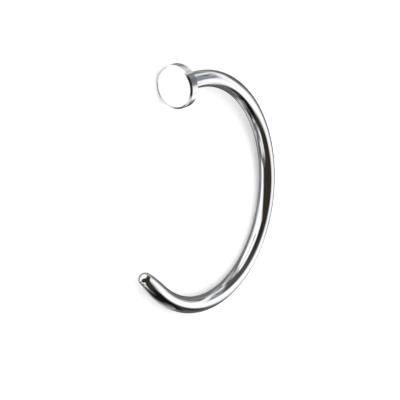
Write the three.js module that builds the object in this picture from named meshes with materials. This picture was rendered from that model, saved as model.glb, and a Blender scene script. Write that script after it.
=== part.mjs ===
import * as THREE from 'three';

// An open nose hoop of polished steel: one round wire bent to a C, with a small flat disc soldered
// square across one end and a softly rounded tip at the other. The disc stops the hoop from sliding
// out of the nostril, and the tip is what goes through the piercing.
// The hoop lies on its side, as it comes to rest on a table: +Z is up, the disc is at the back left,
// the tip at the front left, and the round back of the bend is to the right.

// Sizes in millimetres.
const WIRE_DIAMETER = 0.8;
const INNER_DIAMETER = 10.0;
const DISC_DIAMETER = 2.05;
const DISC_THICKNESS = 0.5;
const DISC_BEVEL_WIDTH = 0.1;
const DISC_BEVEL_DEPTH = 0.05;
const DISC_LEAD = 0.95;
const TIP_NOSE_RADIUS = 0.32;
const TIP_EASE_LENGTH = 1.2;

// Where the bend starts behind the tip and ends behind the disc, in degrees from +X towards +Y.
const BEND_START_DEGREES = -119.6;
const BEND_END_DEGREES = 109;

// How finely the curved surfaces are divided.
const WIRE_SIDES = 32;
const DEGREES_PER_SECTION = 4;
const NOSE_SECTIONS = 6;
const EASE_SECTIONS = 5;

const wireRadius = WIRE_DIAMETER / 2;
const discRadius = DISC_DIAMETER / 2;
const bendRadius = INNER_DIAMETER / 2 + wireRadius;
const bendSweep = THREE.MathUtils.degToRad(BEND_END_DEGREES - BEND_START_DEGREES);

// Distances along the wire's centre line, counted from the very end of the tip. The bend starts
// where the tip has eased out to the full wire.
const bendFrom = TIP_NOSE_RADIUS + TIP_EASE_LENGTH;
const bendTo = bendFrom + bendRadius * bendSweep;
const discBack = bendTo + DISC_LEAD;
const discFront = discBack + DISC_THICKNESS;

// The tip is a ball of the nose radius that eases into the wire along one long shallow arc, which
// touches the ball at one end and the wire at the other. The arc's radius and the angle at which the
// two meet follow from that.
function tipProfile() {
  const nose = TIP_NOSE_RADIUS;
  const easeRadius = (wireRadius ** 2 + TIP_EASE_LENGTH ** 2 - nose ** 2) / (2 * (wireRadius - nose));
  const meetAngle = Math.atan2(TIP_EASE_LENGTH, easeRadius - wireRadius);
  const lastTurn = Math.PI / 2 - meetAngle;
  const points = [];
  for (let i = 0; i <= NOSE_SECTIONS; i++) {
    const turn = (lastTurn * i) / NOSE_SECTIONS;
    points.push(new THREE.Vector2(nose * Math.sin(turn), nose * (1 - Math.cos(turn))));
  }
  for (let i = 1; i < EASE_SECTIONS; i++) {
    const angle = meetAngle * (1 - i / EASE_SECTIONS);
    const out = wireRadius - easeRadius * (1 - Math.cos(angle));
    points.push(new THREE.Vector2(out, bendFrom - easeRadius * Math.sin(angle)));
  }
  return points;
}

// The plain wire, with a section at every few degrees of the bend.
function wireProfile() {
  const sections = Math.ceil((BEND_END_DEGREES - BEND_START_DEGREES) / DEGREES_PER_SECTION);
  const points = [];
  for (let i = 0; i <= sections; i++) {
    points.push(new THREE.Vector2(wireRadius, THREE.MathUtils.lerp(bendFrom, bendTo, i / sections)));
  }
  return points;
}

// The disc, from the wire out across its back, over both bevelled edges and in across its front.
function discProfile() {
  const flatRadius = discRadius - DISC_BEVEL_WIDTH;
  return [
    new THREE.Vector2(wireRadius, discBack),
    new THREE.Vector2(flatRadius, discBack),
    new THREE.Vector2(discRadius, discBack + DISC_BEVEL_DEPTH),
    new THREE.Vector2(discRadius, discFront - DISC_BEVEL_DEPTH),
    new THREE.Vector2(flatRadius, discFront),
    new THREE.Vector2(0, discFront),
  ];
}

// The hoop before it is bent: turned about +Y, with the tip's end at the origin.
function straightBlank() {
  return new THREE.LatheGeometry([...tipProfile(), ...wireProfile(), ...discProfile()], WIRE_SIDES);
}

// Moves a point of the straight blank to its place on the bent hoop, whose bend is centred on the
// origin in the XY plane. Past either end of the bend the wire carries on straight.
function bend(point) {
  const onBend = THREE.MathUtils.clamp(point.y, bendFrom, bendTo);
  const beyond = point.y - onBend;
  const angle = THREE.MathUtils.degToRad(BEND_START_DEGREES) + (onBend - bendFrom) / bendRadius;
  const radius = bendRadius + point.x;
  return new THREE.Vector3(
    radius * Math.cos(angle) - beyond * Math.sin(angle),
    radius * Math.sin(angle) + beyond * Math.cos(angle),
    point.z,
  );
}

function bendAll(geometry) {
  const position = geometry.attributes.position;
  const point = new THREE.Vector3();
  for (let i = 0; i < position.count; i++) {
    point.fromBufferAttribute(position, i);
    position.setXYZ(i, ...bend(point));
  }
  geometry.computeVertexNormals();
  return geometry;
}

// Centre of mass of a closed mesh, from the tetrahedra that its triangles make with the origin.
function centreOfMass(geometry) {
  const { index, attributes } = geometry;
  const [a, b, c] = [new THREE.Vector3(), new THREE.Vector3(), new THREE.Vector3()];
  const moment = new THREE.Vector3();
  let total = 0;
  for (let i = 0; i < index.count; i += 3) {
    a.fromBufferAttribute(attributes.position, index.getX(i));
    b.fromBufferAttribute(attributes.position, index.getX(i + 1));
    c.fromBufferAttribute(attributes.position, index.getX(i + 2));
    const share = a.dot(b.clone().cross(c));
    moment.addScaledVector(a.add(b).add(c), share / 4);
    total += share;
  }
  return moment.divideScalar(total);
}

// The disc stands out below the wire, so the hoop lies slightly tilted. It rests on the inner end
// of the disc's rim and on the far side of the bend, where the line from that rim through the
// centre of mass meets it. This gives the upward direction of the table in the bent hoop's frame.
function tableNormal(geometry) {
  const rim = bend(new THREE.Vector3(0, discBack + DISC_BEVEL_DEPTH, 0));
  const centre = centreOfMass(geometry).setZ(0);
  const throughCentre = new THREE.Ray(centre, centre.clone().sub(rim).normalize());
  const bendCircle = new THREE.Sphere(new THREE.Vector3(), bendRadius);
  const farSide = throughCentre.intersectSphere(bendCircle, new THREE.Vector3()).normalize();
  const slope = (discRadius - wireRadius) / (bendRadius - rim.dot(farSide));
  return new THREE.Vector3(0, 0, 1).addScaledVector(farSide, -slope).normalize();
}

// Turns the hoop to lie on the table, with the middle of its outline over the origin.
function layDown(mesh) {
  mesh.quaternion.setFromUnitVectors(tableNormal(mesh.geometry), new THREE.Vector3(0, 0, 1));
  const box = new THREE.Box3().setFromObject(mesh, true);
  const middle = box.getCenter(new THREE.Vector3());
  mesh.position.set(-middle.x, -middle.y, -box.min.z);
  return mesh;
}

function makeHoop() {
  const polishedSteel = new THREE.MeshStandardMaterial({ color: 0xdcdcdd, metalness: 1, roughness: 0.06 });
  const hoop = new THREE.Mesh(bendAll(straightBlank()), polishedSteel);
  hoop.name = 'nose_hoop';
  return layDown(hoop);
}

const noseRing = new THREE.Group();
noseRing.add(makeHoop());

export default noseRing;
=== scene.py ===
# %% [markdown]
# A nose hoop in polished steel
#
# The real hoop starts as a straight piece of round wire. A small disc is soldered across one end,
# the other end is rounded, the whole blank is polished, and then it is bent round a bar to an open C.
# This lesson makes it the same way: draw the outline of the straight blank, turn it like a lathe,
# bend it, lay it down as it would lie on a table, and polish it.

# %% Load the measured model
from math import acos, atan2, cos, degrees, pi, radians, sin, sqrt, tan

import bmesh
import bpy
import numpy as np
from mathutils import Matrix, Vector


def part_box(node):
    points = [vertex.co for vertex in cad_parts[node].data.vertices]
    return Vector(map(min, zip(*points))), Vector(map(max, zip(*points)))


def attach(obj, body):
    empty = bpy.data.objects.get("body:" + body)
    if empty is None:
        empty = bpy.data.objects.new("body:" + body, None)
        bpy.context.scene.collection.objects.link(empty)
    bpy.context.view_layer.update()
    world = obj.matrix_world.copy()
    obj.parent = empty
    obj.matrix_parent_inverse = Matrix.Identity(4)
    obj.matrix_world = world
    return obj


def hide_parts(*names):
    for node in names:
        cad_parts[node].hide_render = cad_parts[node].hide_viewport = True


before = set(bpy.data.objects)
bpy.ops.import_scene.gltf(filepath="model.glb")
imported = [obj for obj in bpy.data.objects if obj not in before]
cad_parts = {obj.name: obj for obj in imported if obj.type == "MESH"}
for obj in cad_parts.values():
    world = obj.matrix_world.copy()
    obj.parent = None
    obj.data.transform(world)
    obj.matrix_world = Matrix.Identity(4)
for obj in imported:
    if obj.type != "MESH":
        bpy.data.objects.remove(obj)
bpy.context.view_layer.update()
hoop_low, hoop_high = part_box("nose_hoop")
print("measured hoop, mm:", [round(side * 1000, 2) for side in hoop_high - hoop_low])

# %% [markdown]
# Sizes
#
# Everything is in metres, so sizes are written in millimetres times `mm`. The hoop's own frame has
# the middle of the bend at the origin and the bend in the XY plane. Angles count from +X towards +Y.

# %% Name the sizes
mm = 0.001

WIRE_RADIUS = 0.4 * mm
BEND_RADIUS = 5.4 * mm
BEND_START = radians(-119.6)
BEND_END = radians(109)
NOSE_RADIUS = 0.32 * mm
TIP_EASE = 1.2 * mm
DISC_LEAD = 0.95 * mm
DISC_RADIUS = 1.025 * mm
DISC_THICKNESS = 0.5 * mm
BEVEL_WIDTH = 0.1 * mm
BEVEL_DEPTH = 0.05 * mm
EDGE_ROUNDING = 0.008 * mm
SOLDER_FILLET = 0.03 * mm

bend_from = NOSE_RADIUS + TIP_EASE
bend_to = bend_from + BEND_RADIUS * (BEND_END - BEND_START)
disc_back = bend_to + DISC_LEAD
disc_front = disc_back + DISC_THICKNESS
print("length of the blank, mm:", round(disc_front / mm, 2))

# %% [markdown]
# The outline of the blank
#
# A lathe only needs half an outline: how far out the metal reaches at each distance along the axis.
# It could be a curve object, but a short list of corners, each softened by a small arc, says the
# same thing with real sizes. A polished edge is never perfectly sharp, and that narrow rounding is
# what catches the light, so every corner of the disc gets one.

# %% Soften a corner of the outline
EDGE_STEPS = 4


def round_corner(before, corner, after, radius):
    """The arc that softens a corner, and a point just outside each end of it to keep flats flat."""
    into = (corner - before).normalized()
    out_of = (after - corner).normalized()
    turn = acos(max(-1.0, min(1.0, into.dot(out_of))))
    reach = radius * tan(turn / 2)
    start = corner - into * reach
    side = Vector((-into.y, into.x))
    if side.dot(out_of) < 0:
        side.negate()
    centre = start + side * radius
    turns = [turn * i / EDGE_STEPS for i in range(EDGE_STEPS + 1)]
    arc = [centre - side * radius * cos(t) + into * radius * sin(t) for t in turns]
    return [start - into * radius / 2, *arc, corner + out_of * (reach + radius / 2)]


print("points in a softened corner:", EDGE_STEPS + 3)

# %% Draw the rounded tip
NOSE_STEPS = 20
EASE_STEPS = 16


def tip_outline():
    """The ball at the very end, and the long shallow arc that eases it into the wire."""
    narrowing = WIRE_RADIUS - NOSE_RADIUS
    ease_radius = (WIRE_RADIUS ** 2 + TIP_EASE ** 2 - NOSE_RADIUS ** 2) / (2 * narrowing)
    meet_angle = atan2(TIP_EASE, ease_radius - WIRE_RADIUS)
    turns = [(pi / 2 - meet_angle) * i / NOSE_STEPS for i in range(NOSE_STEPS + 1)]
    ball = [Vector((NOSE_RADIUS * sin(t), NOSE_RADIUS * (1 - cos(t)))) for t in turns]
    angles = [meet_angle * (1 - i / EASE_STEPS) for i in range(1, EASE_STEPS)]
    ease = [Vector((WIRE_RADIUS - ease_radius * (1 - cos(a)), bend_from - ease_radius * sin(a)))
            for a in angles]
    return ball + ease


print("tip outline points:", len(tip_outline()))

# %% Draw the wire and the disc
SECTION_ANGLE = radians(1.0)
STRAIGHT_STEPS = 6


def wire_outline():
    """The plain wire, with a point at every degree of the bend."""
    sections = round((BEND_END - BEND_START) / SECTION_ANGLE)
    straight = DISC_LEAD - 2 * SOLDER_FILLET
    along = [bend_from + (bend_to - bend_from) * i / sections for i in range(sections + 1)]
    along += [bend_to + straight * i / STRAIGHT_STEPS for i in range(1, STRAIGHT_STEPS + 1)]
    return [Vector((WIRE_RADIUS, distance)) for distance in along]


def disc_outline():
    """Solder fillet, back, bevel, rim, bevel and front, in to the axis."""
    flat = DISC_RADIUS - BEVEL_WIDTH
    corners = [Vector(point) for point in (
        (WIRE_RADIUS, disc_back - 2 * SOLDER_FILLET),
        (WIRE_RADIUS, disc_back),
        (flat, disc_back),
        (DISC_RADIUS, disc_back + BEVEL_DEPTH),
        (DISC_RADIUS, disc_front - BEVEL_DEPTH),
        (flat, disc_front),
        (0, disc_front),
    )]
    radii = [SOLDER_FILLET] + [EDGE_ROUNDING] * 4
    points = []
    for i, radius in enumerate(radii, start=1):
        points += round_corner(corners[i - 1], corners[i], corners[i + 1], radius)
    return points + [corners[-1]]


blank_outline = tip_outline() + wire_outline() + disc_outline()
print("outline points:", len(blank_outline))

# %% [markdown]
# Turning and bending with Geometry Nodes
#
# The hoop's shape follows a rule, so a node tree makes it. A grid has one row of points for each
# point of the outline and one column for each step round the axis. The tree looks the outline up
# row by row, swings it round the axis, and then bends the result: inside the bend the distance along
# the wire becomes an angle, and past either end of the bend the wire carries on straight. Changing
# a named input, such as the bend radius, bends the same blank to another size.

# %% Small helpers for building node trees
def add_socket(tree, name, kind, value=None, in_out="INPUT"):
    socket = tree.interface.new_socket(name=name, in_out=in_out, socket_type=kind)
    if value is not None:
        socket.default_value = value
    return socket


class TreeMaker:
    """Adds nodes to a tree and wires them up, so that a formula reads as a formula."""

    def __init__(self, tree):
        self.tree = tree

    def put(self, socket, value):
        if isinstance(value, bpy.types.NodeSocket):
            self.tree.links.new(value, socket)
        else:
            socket.default_value = value

    def node(self, kind, inputs=None, **settings):
        node = self.tree.nodes.new(kind)
        for name, value in settings.items():
            setattr(node, name, value)
        for name, value in (inputs or {}).items():
            self.put(node.inputs[name], value)
        return node

    def math(self, operation, *values):
        node = self.node("ShaderNodeMath", operation=operation)
        for socket, value in zip(node.inputs, values):
            self.put(socket, value)
        return node.outputs[0]

    def vector(self, x, y, z):
        return self.node("ShaderNodeCombineXYZ", {"X": x, "Y": y, "Z": z}).outputs[0]


print("helpers for node trees: add_socket, TreeMaker")

# %% Build the tree
SIDES = 128


def turn_and_bend_tree():
    tree = bpy.data.node_groups.new("turn_and_bend", "GeometryNodeTree")
    add_socket(tree, "Outline", "NodeSocketGeometry")
    add_socket(tree, "Sides", "NodeSocketInt", SIDES)
    for name in ("Bend Radius", "Bend From", "Bend To", "Start Angle", "Merge Distance"):
        add_socket(tree, name, "NodeSocketFloat", 0.0)
    add_socket(tree, "Material", "NodeSocketMaterial")
    add_socket(tree, "Hoop", "NodeSocketGeometry", in_out="OUTPUT")
    make = TreeMaker(tree)
    given = make.node("NodeGroupInput").outputs

    # One row of grid points for each outline point, one column for each side and one to close.
    # The half keeps the division clear of rounding errors.
    counted = make.node("GeometryNodeAttributeDomainSize", {"Geometry": given["Outline"]})
    rows = counted.outputs["Point Count"]
    columns = make.math("ADD", given["Sides"], 1.0)
    grid = make.node("GeometryNodeMeshGrid", {"Vertices X": rows, "Vertices Y": columns})
    index = make.node("GeometryNodeInputIndex").outputs[0]
    row = make.math("FLOOR", make.math("DIVIDE", make.math("ADD", index, 0.5), columns))
    column = make.math("SUBTRACT", index, make.math("MULTIPLY", row, columns))

    # Look up the outline, and swing it round the axis.
    place = make.node("GeometryNodeInputPosition").outputs[0]
    looked_up = make.node("GeometryNodeSampleIndex", data_type="FLOAT_VECTOR", domain="POINT")
    make.put(looked_up.inputs["Geometry"], given["Outline"])
    make.put(looked_up.inputs["Value"], place)
    make.put(looked_up.inputs["Index"], row)
    outline = make.node("ShaderNodeSeparateXYZ", {"Vector": looked_up.outputs[0]}).outputs
    swing = make.math("DIVIDE", make.math("MULTIPLY", column, 2 * pi), given["Sides"])
    outward = make.math("MULTIPLY", outline["X"], make.math("SINE", swing))
    upward = make.math("MULTIPLY", outline["X"], make.math("COSINE", swing))
    straight = make.vector(outward, outline["Y"], upward)

    # Bend it. "beyond" is how far a point lies past either end of the bend.
    before_end = make.math("MINIMUM", outline["Y"], given["Bend To"])
    on_bend = make.math("MAXIMUM", before_end, given["Bend From"])
    beyond = make.math("SUBTRACT", outline["Y"], on_bend)
    bent_length = make.math("SUBTRACT", on_bend, given["Bend From"])
    bent_angle = make.math("DIVIDE", bent_length, given["Bend Radius"])
    angle = make.math("ADD", given["Start Angle"], bent_angle)
    radius = make.math("ADD", given["Bend Radius"], outward)
    cosine, sine = make.math("COSINE", angle), make.math("SINE", angle)
    bent_x = make.math("SUBTRACT", make.math("MULTIPLY", radius, cosine),
                       make.math("MULTIPLY", beyond, sine))
    bent_y = make.math("ADD", make.math("MULTIPLY", radius, sine),
                       make.math("MULTIPLY", beyond, cosine))
    bent = make.vector(bent_x, bent_y, upward)

    # Keep the straight blank's coordinates, because the drawing marks in the metal were made on it.
    kept = make.node("GeometryNodeStoreNamedAttribute", data_type="FLOAT_VECTOR", domain="POINT")
    make.put(kept.inputs["Geometry"], grid.outputs["Mesh"])
    make.put(kept.inputs["Name"], "blank")
    make.put(kept.inputs["Value"], straight)
    moved = make.node("GeometryNodeSetPosition", {"Geometry": kept.outputs[0], "Position": bent})
    outwards = make.node("GeometryNodeFlipFaces", {"Mesh": moved.outputs[0]})
    closed = make.node("GeometryNodeMergeByDistance", {"Geometry": outwards.outputs[0]})
    make.put(closed.inputs["Distance"], given["Merge Distance"])
    smooth = make.node("GeometryNodeSetShadeSmooth", {"Geometry": closed.outputs[0]})
    real = make.node("GeometryNodeRealizeInstances", {"Geometry": smooth.outputs[0]})
    finished = make.node("GeometryNodeSetMaterial", {"Geometry": real.outputs[0],
                                                     "Material": given["Material"]})
    out = make.node("NodeGroupOutput")
    make.put(out.inputs["Hoop"], finished.outputs[0])
    return tree


tree = turn_and_bend_tree()
print("nodes in the tree:", len(tree.nodes))

# %% [markdown]
# The finish
#
# Surgical steel is polished on cloth wheels until it is a mirror, so nearly all of its look is what
# it reflects. Two faint things tell metal from chrome paint: hair-fine marks that run along the wire,
# from drawing it through a die, and a slow waviness of the polish. Both are made on the straight
# blank's coordinates, so they follow the bend. They are kept very weak, because the real surface is
# bright and clean even this close.

# %% Make the polished steel
STEEL_COLOUR = (0.72, 0.72, 0.73, 1.0)
MARK_SPACING = 0.02 * mm
MARK_LENGTH = 1.5 * mm
MARK_DEPTH_SHARE = 0.02
SMOOTHEST, ROUGHEST = 0.03, 0.07
WAVE_LENGTH = 0.9 * mm
WAVE_DEPTH = 0.002 * mm
WAVE_STRENGTH = 0.3
# Nearly all of the noise lies between these two.
NOISE_LOW, NOISE_HIGH = 0.3, 0.7


def polished_steel():
    material = bpy.data.materials.new("polished_steel")
    material.use_nodes = True
    material.node_tree.nodes.clear()
    make = TreeMaker(material.node_tree)
    attribute = make.node("ShaderNodeAttribute", attribute_type="GEOMETRY", attribute_name="blank")
    blank = attribute.outputs["Vector"]
    marks_at = make.node("ShaderNodeMapping", {"Vector": blank})
    marks_at.inputs["Scale"].default_value = (1 / MARK_SPACING, 1 / MARK_LENGTH, 1 / MARK_SPACING)
    marks = make.node("ShaderNodeTexNoise", {"Vector": marks_at.outputs[0], "Scale": 1.0,
                                             "Detail": 2.0})
    waves_at = make.node("ShaderNodeMapping", {"Vector": blank})
    waves_at.inputs["Scale"].default_value = (1 / WAVE_LENGTH,) * 3
    waves = make.node("ShaderNodeTexNoise", {"Vector": waves_at.outputs[0], "Scale": 1.0,
                                             "Detail": 1.0})
    roughness = make.node("ShaderNodeMapRange", {"Value": marks.outputs[0], "From Min": NOISE_LOW,
                                                 "From Max": NOISE_HIGH, "To Min": SMOOTHEST,
                                                 "To Max": ROUGHEST})
    steel = make.node("ShaderNodeBsdfPrincipled")
    steel.inputs["Base Color"].default_value = STEEL_COLOUR
    steel.inputs["Metallic"].default_value = 1.0
    make.put(steel.inputs["Roughness"], roughness.outputs[0])
    scratches = make.math("MULTIPLY", marks.outputs[0], MARK_DEPTH_SHARE)
    height = make.math("ADD", scratches, waves.outputs[0])
    bump = make.node("ShaderNodeBump", {"Height": height, "Strength": WAVE_STRENGTH,
                                        "Distance": WAVE_DEPTH})
    make.put(steel.inputs["Normal"], bump.outputs[0])
    out = make.node("ShaderNodeOutputMaterial")
    make.put(out.inputs["Surface"], steel.outputs[0])
    return material


steel_material = polished_steel()
print("nodes in the steel:", len(steel_material.node_tree.nodes))

# %% [markdown]
# Making the hoop
#
# The outline goes in as a chain of points, and the modifier's inputs are set before it is first
# evaluated. The evaluated result is then copied to a plain mesh, so the finished hoop needs no
# modifier and every later step sees ordinary geometry.

# %% Turn and bend the blank
MERGE_DISTANCE = 0.0001 * mm


def outline_object(points):
    mesh = bpy.data.meshes.new("blank_outline")
    edges = [(i, i + 1) for i in range(len(points) - 1)]
    mesh.from_pydata([(point.x, point.y, 0) for point in points], edges, [])
    blank = bpy.data.objects.new("blank_outline", mesh)
    bpy.context.scene.collection.objects.link(blank)
    return blank


def set_input(modifier, name, value):
    items = modifier.node_group.interface.items_tree
    socket = next(item for item in items if item.name == name and item.in_out == "INPUT")
    modifier[socket.identifier] = value


def make_hoop_mesh():
    blank = outline_object(blank_outline)
    modifier = blank.modifiers.new("turn_and_bend", "NODES")
    modifier.node_group = tree
    set_input(modifier, "Sides", SIDES)
    set_input(modifier, "Bend Radius", BEND_RADIUS)
    set_input(modifier, "Bend From", bend_from)
    set_input(modifier, "Bend To", bend_to)
    set_input(modifier, "Start Angle", BEND_START)
    set_input(modifier, "Merge Distance", MERGE_DISTANCE)
    set_input(modifier, "Material", steel_material)
    evaluated = blank.evaluated_get(bpy.context.evaluated_depsgraph_get())
    mesh = bpy.data.meshes.new_from_object(evaluated)
    mesh.name = "polished_hoop"
    bpy.data.objects.remove(blank)
    return mesh


hoop_mesh = make_hoop_mesh()
print("hoop:", len(hoop_mesh.vertices), "points,", len(hoop_mesh.polygons), "faces")

# %% [markdown]
# Laying it down
#
# The disc is wider than the wire, so a hoop that lies on a table is propped up a little at the disc.
# It touches at two places: the inner end of the disc's rim, and the far side of the bend, where the
# line from that rim through the centre of mass meets it. The slope between the two is the tilt.

# %% Find the centre of mass
def triangles_of(mesh):
    mesh.calc_loop_triangles()
    corners = np.zeros(len(mesh.loop_triangles) * 3, np.int32)
    mesh.loop_triangles.foreach_get("vertices", corners)
    places = np.zeros(len(mesh.vertices) * 3)
    mesh.vertices.foreach_get("co", places)
    return places.reshape(-1, 3)[corners.reshape(-1, 3)]


def centre_of_mass(mesh):
    """From the tetrahedra that the mesh's triangles make with the origin."""
    a, b, c = np.moveaxis(triangles_of(mesh), 1, 0)
    share = np.einsum("ij,ij->i", a, np.cross(b, c))
    print("volume, cubic mm:", round(share.sum() / 6 / mm ** 3, 2))
    return Vector(((a + b + c) / 4 * share[:, None]).sum(0) / share.sum())


balance_point = centre_of_mass(hoop_mesh)
print("centre of mass, mm:", [round(value / mm, 2) for value in balance_point])

# %% Find how it lies
def on_centre_line(distance):
    """The point of the wire's centre line at that distance along the blank, in the hoop's frame."""
    on_bend = min(max(distance, bend_from), bend_to)
    angle = BEND_START + (on_bend - bend_from) / BEND_RADIUS
    outward, forward = Vector((cos(angle), sin(angle), 0)), Vector((-sin(angle), cos(angle), 0))
    return outward * BEND_RADIUS + forward * (distance - on_bend)


def resting_turn(centre):
    """The rotation from the hoop's own frame to how it lies, from its centre of mass."""
    rim = on_centre_line(disc_back + BEVEL_DEPTH)
    heading = Vector((centre.x - rim.x, centre.y - rim.y, 0)).normalized()
    across = rim.dot(heading)
    far_side = rim + heading * (sqrt(across ** 2 - rim.length_squared + BEND_RADIUS ** 2) - across)
    far_side.normalize()
    slope = (DISC_RADIUS - WIRE_RADIUS) / (BEND_RADIUS - rim.dot(far_side))
    table_up = Vector((0, 0, 1)) - far_side * slope
    return table_up.rotation_difference(Vector((0, 0, 1))).to_matrix().to_4x4()


lie = resting_turn(balance_point)
print("tilt, degrees:", round(degrees(lie.to_quaternion().angle), 2))

# %% Lay the hoop on the table
hoop_mesh.transform(lie)
places = np.array([vertex.co for vertex in hoop_mesh.vertices])
middle = (places.min(0) + places.max(0)) / 2
lift = Vector(((hoop_low.x + hoop_high.x) / 2 - middle[0],
               (hoop_low.y + hoop_high.y) / 2 - middle[1],
               hoop_low.z - places[:, 2].min()))
hoop_mesh.transform(Matrix.Translation(lift))
hoop_to_table = Matrix.Translation(lift) @ lie

hoop = bpy.data.objects.new("polished_hoop", hoop_mesh)
bpy.context.scene.collection.objects.link(hoop)
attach(hoop, "root")
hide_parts("nose_hoop")
print("moved onto the table by, mm:", [round(value / mm, 2) for value in lift])

# %% [markdown]
# The table
#
# A plain white surface, far larger than the hoop. It catches only a soft contact shadow.

# %% Make the table
TABLE_HALF = 1.5
TABLE_COLOUR = (0.9, 0.9, 0.9, 1.0)


def white_table():
    material = bpy.data.materials.new("table_white")
    material.use_nodes = True
    shader = material.node_tree.nodes["Principled BSDF"]
    shader.inputs["Base Color"].default_value = TABLE_COLOUR
    shader.inputs["Roughness"].default_value = 1.0
    shader.inputs["Specular IOR Level"].default_value = 0.0
    mesh = bpy.data.meshes.new("table")
    corners = [(x * TABLE_HALF, y * TABLE_HALF, 0) for x, y in ((-1, -1), (1, -1), (1, 1), (-1, 1))]
    mesh.from_pydata(corners, [], [(0, 1, 2, 3)])
    mesh.materials.append(material)
    table = bpy.data.objects.new("table", mesh)
    bpy.context.scene.collection.objects.link(table)
    table.visible_glossy = False


white_table()
print("table, m across:", 2 * TABLE_HALF)

# %% [markdown]
# The light tent
#
# A mirror shows nothing but its surroundings, so most of the look of polished metal is made by what
# stands round it. Jewellery is photographed inside a small tent, with white cards and dark cloths that
# draw lines along the metal. Area lamps could draw such lines too, but a lamp has a hard outline and
# also lights the table. Here the tent is a sphere a few centimetres out, near enough for the lines to
# shift along the wire as they do in a real tent, and each card is a soft-edged patch of it.

# %% Describe one card
def soft_card_group():
    """A soft-edged rectangle on the sphere, laid over the light behind it."""
    group = bpy.data.node_groups.new("soft_card", "ShaderNodeTree")
    for name in ("Direction", "Middle", "Across", "Up"):
        add_socket(group, name, "NodeSocketVector")
    for name in ("Half Width", "Half Height", "Side Softness", "Top Softness"):
        add_socket(group, name, "NodeSocketFloat", 0.1)
    for name in ("Card", "Behind"):
        add_socket(group, name, "NodeSocketColor")
    add_socket(group, "Light", "NodeSocketColor", in_out="OUTPUT")
    make = TreeMaker(group)
    given = make.node("NodeGroupInput").outputs

    def along(name):
        dot = make.node("ShaderNodeVectorMath", operation="DOT_PRODUCT")
        make.put(dot.inputs[0], given["Direction"])
        make.put(dot.inputs[1], given[name])
        return dot.outputs["Value"]

    def inside(angle, half, softness):
        fade = make.math("DIVIDE", make.math("SUBTRACT", given[half], angle), given[softness])
        step = make.node("ShaderNodeMapRange", {"Value": fade, "From Min": -0.5, "From Max": 0.5},
                         interpolation_type="SMOOTHSTEP")
        return step.outputs[0]

    across = make.math("ABSOLUTE", make.math("ARCTAN2", along("Across"), along("Middle")))
    up = make.math("ABSOLUTE", make.math("ARCSINE", along("Up")))
    cover = make.math("MULTIPLY", inside(across, "Half Width", "Side Softness"),
                      inside(up, "Half Height", "Top Softness"))
    light = make.node("ShaderNodeMixRGB", {"Fac": cover, "Color1": given["Behind"],
                                           "Color2": given["Card"]})
    out = make.node("NodeGroupOutput")
    make.put(out.inputs["Light"], light.outputs[0])
    return group


card_group = soft_card_group()
print("nodes in a card:", len(card_group.nodes))

# %% [markdown]
# The cards
#
# A card is written as its name, the direction of its middle (degrees round from +X, degrees up), its
# roll, width and height in degrees, the softness of its edge and its tone. A tone is how bright the
# card looks in the metal, from 0 to 1. Two softnesses are for the sides and for the top and bottom,
# and three tones are red, green and blue. Later cards lie over earlier ones, and all lie over the
# tent's wall, which fades from the floor's tone to the roof's.

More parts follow.
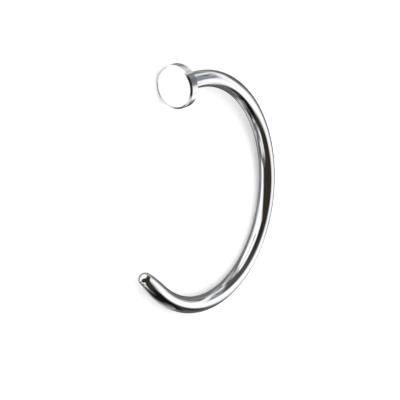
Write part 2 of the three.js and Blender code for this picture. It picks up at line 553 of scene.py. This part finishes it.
# %% Place the cards
FLOOR_TONE, ROOF_TONE = 0.50, 0.16
CARDS = [
    # Patches of the floor.
    ("low pale right", 304, -52, 0, 40, 26, 14, 0.74),
    ("pale floor left", 56, -16, 0, 12, 32, 10, 0.58),
    ("low grey left", 77, -26, 0, 17, 46, 14, 0.67),
    ("dark corner left", 91, -50, -60, 26, 14, 12, 0.37),
    ("grey under spot", 254, -34, 0, 24, 36, 12, 0.42),
    ("dark low right", 248, -60, 0, 22, 24, 12, 0.32),
    # The brown roof.
    ("brown roof", 206, 68, 0, 96, 62, 10, (0.20, 0.17, 0.14)),
    ("brown roof front", 194, 31, 0, 60, 76, 9, (0.20, 0.18, 0.15)),
    ("brown roof left", 159, 44.5, -56, 50, 27, 8, (0.20, 0.18, 0.14)),
    ("black roof edge", 138, 58, -52, 30, 10, 8, (0.14, 0.14, 0.13)),
    ("brown right", 266, 34, 0, 44, 46, 12, (0.20, 0.18, 0.15)),
    ("light by arch", 306.5, 42, 0, 13, 8, 9, 0.69),
    # The white panel that the disc's face mirrors, and two white cards on the tip's side.
    ("white panel top", 123, -4, 12, 54, 78, (13, 16), 1.0),
    ("white panel", 148.5, -7, -58.5, 84, 52, (11, 15), 1.0),
    ("white panel tail", 186, -41.5, 0, 54, 34, (9, 12), 1.0),
    ("panel foot", 136, -54, 0, 34, 13, (10, 14), 0.78),
    ("white spot", 242.5, 10, 0, 32, 24, (18, 14), 0.93),
    ("white spot low", 234, -13, 0, 16, 22, 10, 0.94),
    # The grey side wall.
    ("grey right", 318, -12, 0, 44, 58, 8, 0.35),
    # The white roof light and the white side card beside it.
    ("white roof fade", 345, 59, 0, 34, 14, (34, 20), 0.87),
    ("white roof light", 341, 45, 0, 42, 18, (28, 13), 1.0),
    ("white roof right", 0, 45, 0, 28, 18, (18, 14), 1.0),
    ("white shoulder", 333, 30.5, -52, 38, 17, 13, 1.0),
    ("white side", 340, 13.5, 12, 16.5, 29, (13, 8), 0.89),
    ("white side edge", 347, 16, 0, 8, 26, 6, 1.0),
    ("white middle", 351, 31, 0, 26, 12, 7, 1.0),
    # Black cloth on the tip's side, and the gaps of light in it.
    ("brown corner", 278, 59.2, 34, 38, 16, (14, 8), (0.18, 0.16, 0.13)),
    ("black wall", 280, -6, -10, 12, 40, 6, (0.09, 0.09, 0.09)),
    ("black arch", 290, 21, 36, 32, 21, 5, (0.07, 0.07, 0.07)),
    ("black arch top", 297, 27.2, -12, 22, 10.5, 7, 0.08),
    ("sliver", 267, -5, 0, 4.5, 20, 5, 0.89),
    ("black core", 301.5, 8, 0, 8.5, 20, 4, (0.09, 0.09, 0.10)),
    ("black core right", 314, 15, -20, 15, 15, 8, (0.16, 0.16, 0.17)),
    ("light arc", 295, -13, 8, 5, 18, 5, 0.56),
    ("light arc core", 297.5, -5, 0, 2, 10, 2, 0.69),
    ("light arc low", 298, -25, 34, 15, 18, 9, 0.61),
    ("light arc end", 305, -34, 20, 8, 16, 6, 0.77),
    # White cards behind the bend, which draw the bright lines near the disc.
    ("pale side", 359, 15.5, 0, 11, 17, 8, 0.75),
    ("white root fade", 10, 22, 0, 30, 8, (12, 22), 0.84),
    ("white root", 4, 32, -4, 26, 8, 5, 1.0),
    ("white streak top", 26, 27.5, -34, 20, 8, 5, 0.97),
    ("white streak", 38, 20, -42, 18, 9, 6, 0.96),
    ("white streak low", 49.5, 8.5, -40, 17, 12, 7, 0.89),
    ("white streak end", 58.5, 12.5, 0, 15, 18, 7, 0.87),
    ("light patch", 70.5, -8, 0, 5, 26, 6, 0.89),
    ("light patch top", 67, 6, 0, 6, 12, 5, 0.84),
    # Cool gaps between them.
    ("blue gap", 25, 37, 0, 16, 3.5, 5, (0.56, 0.58, 0.61)),
    ("blue gap right", 43, 34, -26, 34, 7, 6, (0.53, 0.55, 0.58)),
    ("blue gap light", 41, 27, -45, 18, 4, 5, (0.66, 0.66, 0.69)),
    # A dark card behind the bend that outlines the wire, and the edge lights.
    ("dark behind", 358, -40, 0, 30, 44, 8, 0.33),
    ("white panel edge", 90, 2, 14, 12, 26, 9, 0.80),
    ("low rim light left", 147, -63, 0, 3, 44, 3, 0.83),
    ("low rim light right", 269, -63, 15, 3.5, 50, 3, 0.87),
]

print("cards:", len(CARDS))

# %% Turn tones and directions into light
def light_of(tone):
    """The linear light that shows as the given tone, by the sRGB curve."""
    parts = tone if isinstance(tone, tuple) else (tone,) * 3
    return (*(((part + 0.055) / 1.055) ** 2.4 for part in parts), 1.0)


def card_frame(around, height, roll):
    """The directions to a card's middle, along its width and along its height."""
    around, height, roll = radians(around), radians(height), radians(roll)
    middle = Vector((cos(height) * cos(around), cos(height) * sin(around), sin(height)))
    level = Vector((-sin(around), cos(around), 0))
    upright = middle.cross(level)
    return middle, level * cos(roll) + upright * sin(roll), upright * cos(roll) - level * sin(roll)


print("light of a middle tone:", round(light_of(0.5)[0], 3))

# %% [markdown]
# Putting the tent up
#
# The glow is a chain of the card group, one for each row of the table. It is a little brighter than
# the tones say, because steel swallows part of the light. Only mirror reflections see the sphere, so
# it neither shades the table nor hides the hoop.

# %% Make the tent's glow
TENT_BRIGHTNESS = 1.39


def tent_material():
    material = bpy.data.materials.new("tent")
    material.use_nodes = True
    material.cycles.emission_sampling = "NONE"
    material.node_tree.nodes.clear()
    make = TreeMaker(material.node_tree)
    place = make.node("ShaderNodeTexCoord").outputs["Object"]
    direction = make.node("ShaderNodeVectorMath", {0: place}, operation="NORMALIZE").outputs[0]
    parts = make.node("ShaderNodeSeparateXYZ", {"Vector": direction}).outputs
    height = make.math("ARCSINE", parts["Z"])
    share_up = make.math("ADD", make.math("DIVIDE", height, pi), 0.5)
    ramp = make.node("ShaderNodeValToRGB", {"Fac": share_up})
    bottom, top = ramp.color_ramp.elements
    bottom.color, top.color = light_of(FLOOR_TONE), light_of(ROOF_TONE)
    light = ramp.outputs[0]
    for name, around, up, roll, wide, high, soft, tone in CARDS:
        middle, across, upward = card_frame(around, up, roll)
        side_softness, top_softness = soft if isinstance(soft, tuple) else (soft, soft)
        card = make.node("ShaderNodeGroup", node_tree=card_group, name=name, label=name)
        for socket, value in (("Direction", direction), ("Middle", middle),
                              ("Across", across), ("Up", upward),
                              ("Half Width", radians(wide / 2)), ("Half Height", radians(high / 2)),
                              ("Side Softness", radians(side_softness)),
                              ("Top Softness", radians(top_softness)),
                              ("Card", light_of(tone)), ("Behind", light)):
            make.put(card.inputs[socket], value)
        light = card.outputs[0]
    glow = make.node("ShaderNodeEmission", {"Color": light, "Strength": TENT_BRIGHTNESS})
    out = make.node("ShaderNodeOutputMaterial")
    make.put(out.inputs["Surface"], glow.outputs[0])
    return material


glow_material = tent_material()
print("nodes in the glow:", len(glow_material.node_tree.nodes))

# %% Put up the tent
TENT_RADIUS = 38 * mm
TENT_DIVISIONS = 5


def put_up_tent():
    """A sphere of glow that only mirror reflections see."""
    mesh = bpy.data.meshes.new("tent")
    ball = bmesh.new()
    bmesh.ops.create_icosphere(ball, subdivisions=TENT_DIVISIONS, radius=TENT_RADIUS)
    ball.to_mesh(mesh)
    ball.free()
    mesh.materials.append(glow_material)
    tent = bpy.data.objects.new("tent", mesh)
    bpy.context.scene.collection.objects.link(tent)
    tent.visible_camera = tent.visible_diffuse = tent.visible_shadow = False
    tent.visible_transmission = tent.visible_volume_scatter = False


put_up_tent()
print("tent radius, mm:", round(TENT_RADIUS / mm))

# %% [markdown]
# The room light
#
# The table and the picture's background see a plain white room, which leaves only a soft shade on
# the table where the hoop touches it.

# %% Light the room
ROOM_BRIGHTNESS = 1.6


def white_room():
    world = bpy.data.worlds.new("room")
    bpy.context.scene.world = world
    world.use_nodes = True
    world.node_tree.nodes.clear()
    make = TreeMaker(world.node_tree)
    background = make.node("ShaderNodeBackground", {"Color": (1, 1, 1, 1), "Strength": ROOM_BRIGHTNESS})
    out = make.node("ShaderNodeOutputWorld")
    make.put(out.inputs["Surface"], background.outputs[0])


white_room()
bpy.context.scene.view_settings.view_transform = "Standard"
print("room brightness:", ROOM_BRIGHTNESS)

# %% [markdown]
# The camera
#
# The hoop is seen from the open side of the C, about 36 degrees above the table, close up with a long
# lens. The camera's place is given in the hoop's own frame and carried along as the hoop lies down.

# %% Place the camera
CAMERA_PLACE = Vector((-42.56, 1.45, 31.24)) * mm
CAMERA_YAW = radians(-53.56)
CAMERA_TILT = radians(-1.99)
CAMERA_ROLL = radians(6.13)
LENS = 100
SENSOR_WIDTH = 36
NEAREST_SEEN = 1 * mm
FARTHEST_SEEN = 10


def place_camera():
    data = bpy.data.cameras.new("camera")
    data.lens = LENS
    data.sensor_width = SENSOR_WIDTH
    data.clip_start = NEAREST_SEEN
    data.clip_end = FARTHEST_SEEN
    camera = bpy.data.objects.new("camera", data)
    bpy.context.scene.collection.objects.link(camera)
    turn = (Matrix.Rotation(CAMERA_YAW, 4, "Y") @ Matrix.Rotation(CAMERA_TILT, 4, "X")
            @ Matrix.Rotation(CAMERA_ROLL, 4, "Z"))
    camera.matrix_world = hoop_to_table @ Matrix.Translation(CAMERA_PLACE) @ turn
    bpy.context.scene.camera = camera
    return camera


camera = place_camera()
print("camera height, mm:", round(camera.matrix_world.translation.z / mm, 1))
